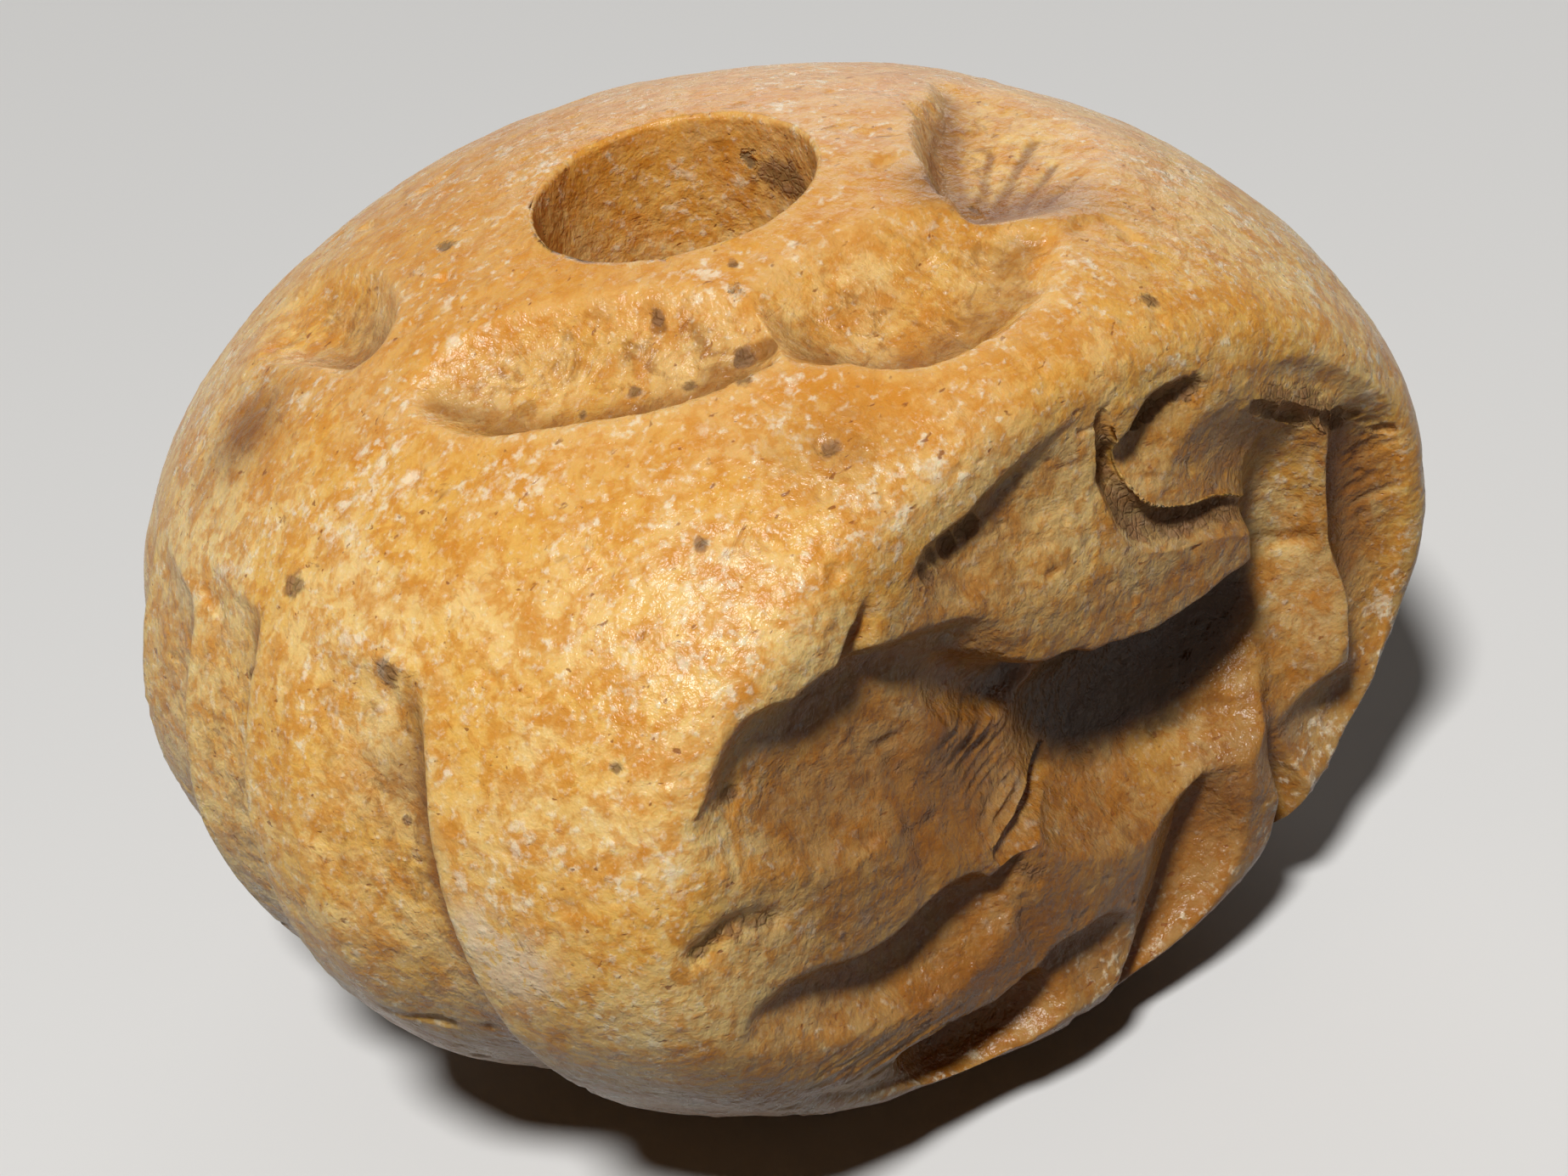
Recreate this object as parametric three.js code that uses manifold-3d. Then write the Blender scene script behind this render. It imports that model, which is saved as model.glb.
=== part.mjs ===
import * as THREE from "three";
import { mergeVertices } from "three/addons/utils/BufferGeometryUtils.js";
import Module from "manifold-3d";

const wasm = await Module();
wasm.setup();

// Intaglio seal bead: one ellipsoid of yellow ochre marble, pierced along Z.
// It stands on the worn end of its bore, and its engraved face looks along -Y.
// Lengths are in millimetres.

// Stone: an ellipsoid with the engraved face ground across its front
const stoneWidth = 22;
const stoneDepth = 23.35;
const stoneHeight = 15.3;
const faceDistance = 7.79;
const restLandLevel = 7.32;

// The face is ground a little round: the radii of its bow, and how low its foremost point lies
const bowAcross = 150;
const bowUp = 65;
const bowDepth = 30;
const bowLevel = -1.8;

// Bore, set a little off the middle of the stone
const boreRadius = 2.25;
const boreShiftX = -0.39;
const boreShiftY = 0.3;
const mouthEase = 0.35;
const mouthEaseHeight = 0.6;

// Engraving: the strokes are laid out on a grid over the face, in steps across and into the stone
const faceStep = 1;
const sinkStep = 1;

// Petals round both mouths of the bore, laid out on a grid seen along the bore
const petalStep = 1;
const petalSink = 1;

// Flutes on the two short sides, each with a long slope and a short step
const fluteSlope = 2.6;
const fluteStep = 0.4;
const fluteDepth = 0.34;

// How far a cutter stands clear of the stone, and how far its walls rise past the surface
const clearance = 2;
const wallRise = 0.06;

const quarter = Math.PI / 2;
const sidesRound = 56;
const sidesHigh = 28;
const bowSides = 90;
const boreSides = 40;
const cutSides = 12;
const spanSteps = 2;
const fluteSteps = 12;

// The strokes of the cutting wheel on the face. A station holds its place across and up the face,
// the reach of the wall on the left of the travel and of the wall on its right, all as shares of
// faceStep, and its depth as a share of sinkStep. Walls are the lean of the left and the right
// wall: 0.5 is round, 1 dished, and 2 fades out into the stone.
const cutShares = {
  foreleg: {
    walls: [0.45, 0.6],
    stations: [
      [-7.1, 2.6, 0.15, 0.7, 0.2],
      [-6.4, 2.75, 0.3, 1.5, 0.55],
      [-5.6, 2.85, 0.5, 2, 0.75],
      [-4.8, 3, 0.6, 2.5, 0.9],
      [-4.1, 3, 0.65, 2.8, 0.9],
      [-3.4, 2.8, 0.65, 2.6, 0.75],
    ],
  },
  tine: {
    walls: [0.4, 0.5],
    stations: [
      [-4.3, 3.3, 0.2, 0.22, 0.8],
      [-4.05, 3.8, 0.18, 0.18, 0.7],
      [-3.75, 4.2, 0.15, 0.14, 0.55],
      [-3.45, 4.6, 0.1, 0.09, 0.3],
    ],
  },
  withers: {
    walls: [0.4, 1.1],
    stations: [
      [-3.9, 3.1, 0.5, 0.7, 0.85],
      [-3.2, 2.8, 0.5, 0.9, 0.85],
      [-2.6, 2.3, 0.5, 1, 0.85],
      [-1.9, 1.65, 0.5, 1, 0.95],
      [-1.2, 1, 0.6, 1, 1.1],
      [-0.5, 0.65, 0.7, 1, 1.2],
    ],
  },
  haunch: {
    walls: [1, 0.9],
    stations: [
      [-3.9, 1.4, 1.4, 1.5, 0.2],
      [-3.2, 1.2, 1.5, 1.7, 0.38],
      [-2.4, 0.8, 1.5, 1.8, 0.6],
      [-1.6, 0.4, 1.5, 1.7, 0.85],
      [-0.8, 0.1, 1.4, 1.6, 1.1],
    ],
  },
  body: {
    walls: [0.5, 0.9],
    stations: [
      [-0.35, 0.3, 0.8, 1.4, 0.9],
      [0.3, 0.1, 1, 2.2, 1.3],
      [1.1, -0.2, 1.05, 2.7, 1.65],
      [2.2, -0.4, 1.1, 2.6, 1.9],
      [3.3, -0.45, 1.15, 2.2, 1.95],
      [4, -0.4, 1.15, 1.5, 1.9],
      [4.3, -0.3, 1, 1.1, 1.7],
    ],
  },
  head: {
    walls: [1.2, 1],
    stations: [
      [2.1, 3.6, 0.9, 0.8, 0.3],
      [3, 3.4, 1.1, 1, 0.42],
      [3.9, 2.95, 1.2, 1.2, 0.55],
      [4.6, 2.3, 1.1, 1.1, 0.75],
      [4.95, 1.6, 0.95, 1, 0.9],
    ],
  },
  neck: {
    walls: [0.8, 1.2],
    stations: [
      [4.5, -1.9, 0.7, 1, 0.5],
      [4.6, -1.2, 0.8, 1.45, 1],
      [4.65, -0.4, 0.8, 1.5, 1.3],
      [4.65, 0.6, 0.75, 1.5, 1.4],
      [4.6, 1.6, 0.5, 1.45, 1.25],
      [4.4, 2.5, 0.4, 1.2, 0.75],
    ],
  },
  breast: {
    walls: [0.45, 1.3],
    stations: [
      [-2.5, 4.35, 0.3, 0.9, 0.45],
      [-1.7, 4.25, 0.45, 1.6, 0.85],
      [-0.9, 4.45, 0.5, 2.2, 0.85],
      [0, 4.8, 0.38, 2.3, 0.6],
      [0.6, 4.85, 0.36, 2, 0.45],
      [1.1, 4.5, 0.3, 1.2, 0.3],
    ],
  },
  brow: {
    walls: [0.4, 1.3],
    stations: [
      [1.35, 4, 0.3, 0.8, 0.5],
      [1.85, 4, 0.4, 1, 0.65],
      [2.35, 4.3, 0.4, 1.2, 0.7],
      [2.95, 4.4, 0.4, 1, 0.5],
    ],
  },
  hindleg: {
    walls: [0.45, 0.7],
    stations: [
      [-7.3, -1.3, 0.12, 0.4, 0.25],
      [-6.7, -1.15, 0.22, 0.8, 0.38],
      [-5.9, -1.4, 0.3, 1, 0.5],
      [-5, -1.85, 0.45, 0.95, 0.62],
      [-4.2, -1.9, 0.55, 1.1, 0.72],
      [-3.5, -1.8, 0.5, 1.3, 0.72],
      [-2.95, -1.7, 0.35, 1.2, 0.5],
    ],
  },
  belly: {
    walls: [0.4, 0.7],
    stations: [
      [-5, -4.3, 0.25, 0.35, 0.35],
      [-4.5, -4.5, 0.4, 0.42, 0.7],
      [-3.9, -4.7, 0.5, 0.45, 0.9],
      [-3.1, -4.8, 0.6, 0.45, 0.95],
      [-2.4, -4.75, 0.6, 0.45, 0.8],
      [-1.9, -4.6, 0.45, 0.4, 0.5],
    ],
  },
  lobe: {
    walls: [0.7, 0.8],
    stations: [
      [-1.4, -4.1, 0.35, 0.9, 0.5],
      [-0.7, -4.2, 0.4, 1.1, 0.5],
      [0, -4.5, 0.4, 1, 0.4],
      [0.6, -5, 0.3, 0.7, 0.25],
    ],
  },
  thigh: {
    walls: [2, 1],
    stations: [
      [0.7, -5.3, 1.2, 0.4, 0.35],
      [1.6, -4.5, 1.6, 0.6, 0.6],
      [2.2, -3.7, 1.7, 0.8, 0.65],
      [2.7, -3, 1, 0.6, 0.45],
    ],
  },
  shin: {
    walls: [0.4, 1],
    stations: [
      [-0.2, -5.75, 0.2, 0.4, 0.6],
      [0.8, -5.2, 0.3, 0.8, 0.85],
      [1.6, -4.5, 0.35, 0.95, 0.95],
      [2.1, -3.8, 0.35, 0.95, 0.95],
      [2.3, -3.3, 0.32, 0.7, 0.8],
      [2.55, -3, 0.22, 0.4, 0.5],
    ],
  },
  hip: {
    walls: [0.5, 0.6],
    stations: [
      [3.5, -6.2, 0.6, 0.7, 2],
      [3.9, -5.4, 0.5, 0.5, 1.5],
      [4.15, -4.5, 0.35, 0.32, 1.05],
      [4.3, -3.6, 0.28, 0.26, 0.85],
      [4.35, -2.9, 0.2, 0.2, 0.6],
    ],
  },
  rump: {
    walls: [0.9, 0.8],
    stations: [
      [4.4, -2.5, 0.6, 1.1, 0.6],
      [4.9, -2.6, 0.9, 1.5, 1.05],
      [5.5, -2.7, 1, 1.55, 1.15],
      [6.1, -2.7, 0.8, 1.3, 0.95],
      [6.6, -2.6, 0.5, 0.8, 0.4],
    ],
  },
  mane: {
    walls: [0.6, 0.9],
    stations: [
      [4.2, 3.6, 0.2, 0.3, 0.35],
      [4.9, 3.25, 0.3, 0.45, 0.6],
      [5.6, 2.7, 0.32, 0.5, 0.7],
      [6.2, 2.1, 0.32, 0.5, 0.75],
      [6.7, 1.6, 0.25, 0.4, 0.5],
    ],
  },
  nape: {
    walls: [0.9, 1],
    stations: [
      [6.8, -3.2, 0.6, 0.9, 0.5],
      [6.8, -2.3, 0.85, 1.2, 0.95],
      [6.8, -1, 0.9, 1.4, 1.15],
      [6.75, 0.2, 0.9, 1.4, 1.15],
      [6.65, 1.2, 0.8, 1.3, 1],
      [6.3, 2.1, 0.5, 1, 0.6],
    ],
  },
  jaw: {
    walls: [0.5, 0.9],
    stations: [
      [1.15, 4.85, 0.12, 0.16, 0.3],
      [1.15, 4.2, 0.16, 0.28, 0.6],
      [1.25, 3.5, 0.18, 0.32, 0.6],
      [1.55, 2.85, 0.18, 0.36, 0.58],
      [2.3, 2.35, 0.18, 0.36, 0.58],
      [3.1, 2, 0.18, 0.3, 0.55],
      [3.85, 1.9, 0.16, 0.2, 0.6],
    ],
  },
  slot: {
    walls: [0.6, 0.7],
    stations: [
      [-2.2, -1.2, 0.12, 0.14, 0.35],
      [-1.6, -1.2, 0.14, 0.16, 0.5],
      [-0.9, -1.15, 0.14, 0.16, 0.85],
      [-0.1, -1.1, 0.12, 0.14, 0.8],
    ],
  },
  bevel: {
    walls: [2, 2],
    stations: [
      [-7.2, -4.5, 1.4, 1.4, 0.4],
      [-5.3, -5, 1.8, 1.8, 0.52],
      [-3.4, -5.3, 1.4, 1.4, 0.4],
    ],
  },
};

// The strokes that make each petal, as shares of petalStep and petalSink
const petalShares = {
  front: {
    walls: [0.7, 1.2],
    stations: [
      [2.3, -4.9, 0.5, 1, 0.15],
      [1.4, -5.15, 0.8, 1.7, 0.42],
      [0.3, -5.25, 0.85, 2, 0.6],
      [-0.6, -5.05, 0.85, 1.9, 0.65],
      [-1.15, -4.5, 0.65, 1.4, 0.5],
      [-1.3, -3.9, 0.4, 0.8, 0.2],
    ],
  },
  left: {
    walls: [0.7, 1.1],
    stations: [
      [-2.6, -3.9, 0.35, 0.8, 0.2],
      [-3.4, -3.5, 0.5, 1.5, 0.5],
      [-4.4, -2.5, 0.6, 1.7, 0.6],
      [-5.3, -1.3, 0.6, 1.6, 0.5],
      [-5.7, -0.4, 0.45, 1, 0.2],
    ],
  },
  right: {
    walls: [0.8, 1.2],
    stations: [
      [2.5, -3.4, 0.3, 0.6, 0.4],
      [3, -2.9, 0.45, 1.7, 0.65],
      [3.6, -2, 0.5, 2.5, 0.6],
      [4.3, -1.1, 0.45, 2.3, 0.4],
      [4.8, -0.4, 0.3, 1.2, 0.15],
    ],
  },
  back: {
    walls: [0.9, 1.1],
    stations: [
      [-5.6, 2.3, 0.4, 0.5, 0.35],
      [-5.45, 3, 0.6, 0.9, 0.5],
      [-5.3, 3.9, 0.8, 1.1, 0.45],
      [-5.1, 4.8, 0.9, 1, 0.22],
      [-4.9, 5.6, 0.7, 0.8, 0.05],
    ],
  },
};

// Place of each flute's upper end round the stone, as a share of a turn from the side's middle
// towards the face, its depth, and the height of its upper end as a share of a quarter turn
const fluteShares = [
  [0.046, 0.9, 0.37],
  [-0.014, 1, 0.36],
  [-0.047, 0.9, 0.3],
  [-0.086, 0.8, 0.27],
];

// The flutes' lower end, how far they drift towards the face on the way down, the lean of their
// walls, how blunt their ends are and how narrow they start
const fluteFootShare = -0.55;
const fluteDriftShare = 0.15;
const fluteWallShares = [0.7, 0.7];
const fluteEndShare = 0.35;
const fluteTipShare = 0.4;

// The worn lip of the bore, as shares of mouthEase and of mouthEaseHeight
const mouthShares = [
  [1, 0],
  [0.45, 0.35],
  [0.12, 0.7],
  [0, 1],
];

const halfWidth = stoneWidth / 2;
const halfDepth = stoneDepth / 2;
const halfHeight = stoneHeight / 2;

// The solid of a closed geometry, with its doubled vertices merged
function solid(geometry) {
  const bare = geometry.clone();
  bare.deleteAttribute("normal");
  bare.deleteAttribute("uv");
  const merged = mergeVertices(bare);
  return new wasm.Manifold(
    new wasm.Mesh({
      numProp: 3,
      vertProperties: merged.attributes.position.array,
      triVerts: new Uint32Array(merged.index.array),
    }),
  );
}

// The outward normal of the stone at a point of it
function normalAt(point) {
  return new THREE.Vector3(
    point.x / halfWidth ** 2,
    point.y / halfDepth ** 2,
    point.z / halfHeight ** 2,
  ).normalize();
}

// The point of the stone at an azimuth round the bore and a latitude
function onSide(azimuth, latitude) {
  return new THREE.Vector3(
    halfWidth * Math.cos(latitude) * Math.cos(azimuth),
    halfDepth * Math.cos(latitude) * Math.sin(azimuth),
    halfHeight * Math.sin(latitude),
  );
}

// The point of the stone's upper or lower end, from its place seen along the bore
function onEnd(end, x, y) {
  const rest = 1 - (x / halfWidth) ** 2 - (y / halfDepth) ** 2;
  return new THREE.Vector3(x, y, end * halfHeight * Math.sqrt(rest));
}

// A closed tube whose vertices are placed one by one: across is -1 to 1 over the cut's width,
// sunk is 1 on its deepest line, 0 at its walls and below 0 outside the stone, along is 0 to 1
function sweep(steps, [leftLean, rightLean], place) {
  const tube = new THREE.CylinderGeometry(1, 1, 1, cutSides, steps);
  const at = tube.attributes.position;
  for (let i = 0; i < at.count; i++) {
    const radius = Math.hypot(at.getX(i), at.getZ(i));
    const turn = Math.round((Math.atan2(at.getX(i), at.getZ(i)) / quarter) * cutSides) / cutSides;
    const across = Math.sin(turn * quarter);
    const inStone = Math.abs(turn) === 1 ? 0 : Math.cos(turn * quarter);
    const lean = across > 0 ? leftLean : rightLean;
    const sunk = inStone > 0 ? Math.pow(inStone, 2 * lean) : inStone;
    const point = place(across * radius, sunk * radius, at.getY(i) + 0.5);
    at.setXYZ(i, point.x, point.y, point.z);
  }
  return solid(tube);
}

// How far a vertex of a sweep lies under the surface, in millimetres
function sink(sunk, depth) {
  if (sunk > 0) return sunk * (depth + wallRise) - wallRise;
  return sunk * clearance - wallRise;
}

// The smooth line through a stroke's stations: its place, travel, reaches and depth
function strokeLine(stations) {
  const line = new THREE.CatmullRomCurve3(stations.map(([x, y]) => new THREE.Vector3(x, y, 0)));
  const wall = new THREE.CatmullRomCurve3(
    stations.map(([, , left, right, depth]) => new THREE.Vector3(left, right, depth)),
  );
  return (along, across) => {
    const middle = line.getPoint(along);
    const travel = line.getTangent(along);
    const { x: left, y: right, z: depth } = wall.getPoint(along);
    const reach = across * (across > 0 ? left : right);
    return { x: middle.x - travel.y * reach, y: middle.y + travel.x * reach, depth };
  };
}

// One stroke of the wheel on the face
function faceCut({ walls, stations }) {
  const line = strokeLine(stations);
  return sweep((stations.length - 1) * spanSteps, walls, (across, sunk, along) => {
    const { x, y, depth } = line(along, across);
    const level = sink(sunk, depth * sinkStep) - faceDistance;
    return new THREE.Vector3(x * faceStep, level, y * faceStep);
  });
}

// One petal's stroke, sunk square to the stone; at the lower end it is the mirrored cut
function petalCut(end, { walls, stations }) {
  const line = strokeLine(stations);
  const leans = end > 0 ? walls : [walls[1], walls[0]];
  return sweep((stations.length - 1) * spanSteps, leans, (across, sunk, along) => {
    const { x, y, depth } = line(along, across * end);
    const point = onEnd(end, x * petalStep, y * petalStep);
    return point.addScaledVector(normalAt(point), -sink(sunk, depth * petalSink));
  });
}

// A flute: it runs down the side, slopes in from the back and ends in a step towards the face
function flute(side, [place, depth, top]) {
  const foot = fluteFootShare * quarter;
  const upper = top * quarter;
  const middle = side < 0 ? 2 * quarter : 0;
  return sweep(fluteSteps, fluteWallShares, (across, sunk, along) => {
    const latitude = foot + (upper - foot) * along;
    const azimuth = middle - side * (place * 4 * quarter + fluteDriftShare * (upper - latitude));
    const swell = Math.pow(Math.max(Math.sin(along * 2 * quarter), 0), fluteEndShare);
    const width = across * side < 0 ? fluteSlope : fluteStep;
    const reach = across * width * (fluteTipShare + (1 - fluteTipShare) * swell);
    const point = onSide(azimuth - reach / (halfWidth * Math.cos(latitude)), latitude);
    return point.addScaledVector(normalAt(point), -sink(sunk, fluteDepth * depth * swell));
  });
}

// The bore: straight, with worn mouths that open a little
function bore() {
  const top = halfHeight + clearance;
  const lip = mouthShares.map(([wide, low]) => [
    boreRadius + mouthEase * wide,
    halfHeight - mouthEaseHeight * low,
  ]);
  const half = [[boreRadius + mouthEase, top], ...lip];
  const upper = half.map(([radius, z]) => new THREE.Vector2(radius, z));
  const lower = half.map(([radius, z]) => new THREE.Vector2(radius, -z)).reverse();
  const ends = [new THREE.Vector2(0, top), new THREE.Vector2(0, -top)];
  const drill = new THREE.LatheGeometry([ends[0], ...upper, ...lower, ends[1]].reverse(), boreSides);
  drill.rotateX(quarter);
  return solid(drill.translate(boreShiftX, boreShiftY, 0));
}

// An ellipsoid about the middle of the stone
function ellipsoid(around, high, width, depth, height) {
  const round = new THREE.SphereGeometry(1, around, high);
  round.rotateX(quarter);
  return round.scale(width, depth, height);
}

let stone = solid(ellipsoid(sidesRound, sidesHigh, halfWidth, halfDepth, halfHeight));

// The bowed face is the front of a far larger ellipsoid
const bowWidth = Math.sqrt(bowAcross * bowDepth);
const bowHeight = Math.sqrt(bowUp * bowDepth);
const bow = ellipsoid(bowSides, bowSides / 2, bowWidth, bowDepth, bowHeight);
bow.translate(0, bowDepth - faceDistance, bowLevel);
stone = stone.intersect(solid(bow));

const restLand = new THREE.BoxGeometry(stoneWidth, stoneDepth, clearance);
stone = stone.subtract(solid(restLand.translate(0, 0, -restLandLevel - clearance / 2)));

for (const end of [1, -1])
  for (const petal of Object.values(petalShares)) stone = stone.subtract(petalCut(end, petal));
for (const side of [-1, 1])
  for (const shares of fluteShares) stone = stone.subtract(flute(side, shares));
for (const cut of Object.values(cutShares)) stone = stone.subtract(faceCut(cut));
stone = stone.subtract(bore());

// The cut stone as a geometry again
function geometryOf(body) {
  const { vertProperties, triVerts, numProp } = body.getMesh();
  const positions = new Float32Array((vertProperties.length / numProp) * 3);
  for (let i = 0; i < positions.length / 3; i++)
    positions.set(vertProperties.subarray(i * numProp, i * numProp + 3), i * 3);
  const geometry = new THREE.BufferGeometry();
  geometry.setAttribute("position", new THREE.BufferAttribute(positions, 3));
  geometry.setIndex(new THREE.BufferAttribute(new Uint32Array(triVerts), 1));
  geometry.computeVertexNormals();
  return geometry;
}

const marble = new THREE.MeshStandardMaterial({
  color: 0xd39a4c,
  roughness: 0.42,
  metalness: 0,
});

const bead = new THREE.Mesh(geometryOf(stone), marble);
bead.name = "seal_stone";
bead.position.set(0, (faceDistance - halfDepth) / 2, restLandLevel);

const seal = new THREE.Group();
seal.add(bead);

export default seal;
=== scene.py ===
import math

import bpy
import numpy as np
from mathutils import Matrix, Vector


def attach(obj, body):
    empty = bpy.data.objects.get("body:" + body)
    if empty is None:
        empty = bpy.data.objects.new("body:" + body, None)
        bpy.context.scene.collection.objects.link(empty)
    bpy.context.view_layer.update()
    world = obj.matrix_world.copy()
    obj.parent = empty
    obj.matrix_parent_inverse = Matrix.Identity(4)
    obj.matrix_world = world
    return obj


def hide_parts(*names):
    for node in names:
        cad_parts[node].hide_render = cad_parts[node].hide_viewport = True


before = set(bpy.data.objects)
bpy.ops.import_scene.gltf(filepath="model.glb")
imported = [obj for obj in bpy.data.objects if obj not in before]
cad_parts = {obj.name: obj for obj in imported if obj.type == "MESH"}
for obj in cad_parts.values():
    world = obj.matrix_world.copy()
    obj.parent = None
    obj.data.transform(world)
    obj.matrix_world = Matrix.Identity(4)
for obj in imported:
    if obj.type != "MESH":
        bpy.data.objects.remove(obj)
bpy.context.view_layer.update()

mm = 0.001  # shapes are worked out in millimetres from the middle of the stone

# The stone: a round body, a bore through it and one engraved face
stone = {
    "width": 22, "depth": 23.35, "height": 15.3,
    "faceDistance": 7.79,  # middle to the highest part of the engraved face
    "dome": (300, 130), "domeLow": -1.8,  # how little the face is rounded, and how low it peaks
    "faceEdge": 0.3,  # cut this deep, a point counts as wholly on the face
    "restLand": 7.32,  # middle to the worn end it stands on
    "boreRadius": 2.25, "boreShift": (-0.39, 0.3), "mouthEase": 0.15,
    "rimWear": 0.8, "cutWear": 0.2, "cutBlend": 0.16,  # how far edges are rounded
    "restGap": 0.005, "restWear": 0.04,  # between the worn end and the table, and at its edge
    "softening": 6, "surround": 28,  # rounds of averaging: for worn edges, and for what is hollow
    "fineStep": 0.24, "sideStep": 0.42, "backStep": 0.75,  # degrees between columns
    "faceRow": 0.34, "endRow": 0.5, "boreRows": 46,  # degrees between rows, and rows in the bore
    "faceBand": 50,  # degrees up and down that the finer rows reach
    "mouthFrom": 0.75, "mouthPower": 1.5,  # where rows begin to follow the mouth, and how fast
    "lipTurns": (15, 35, 55, 75),  # degrees of the rows on a lip of the bore
}
middle = np.array([0, (stone["faceDistance"] - stone["depth"] / 2) / 2, stone["restLand"]])
halfAxes = np.array([stone["width"], stone["depth"], stone["height"]]) / 2

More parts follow.
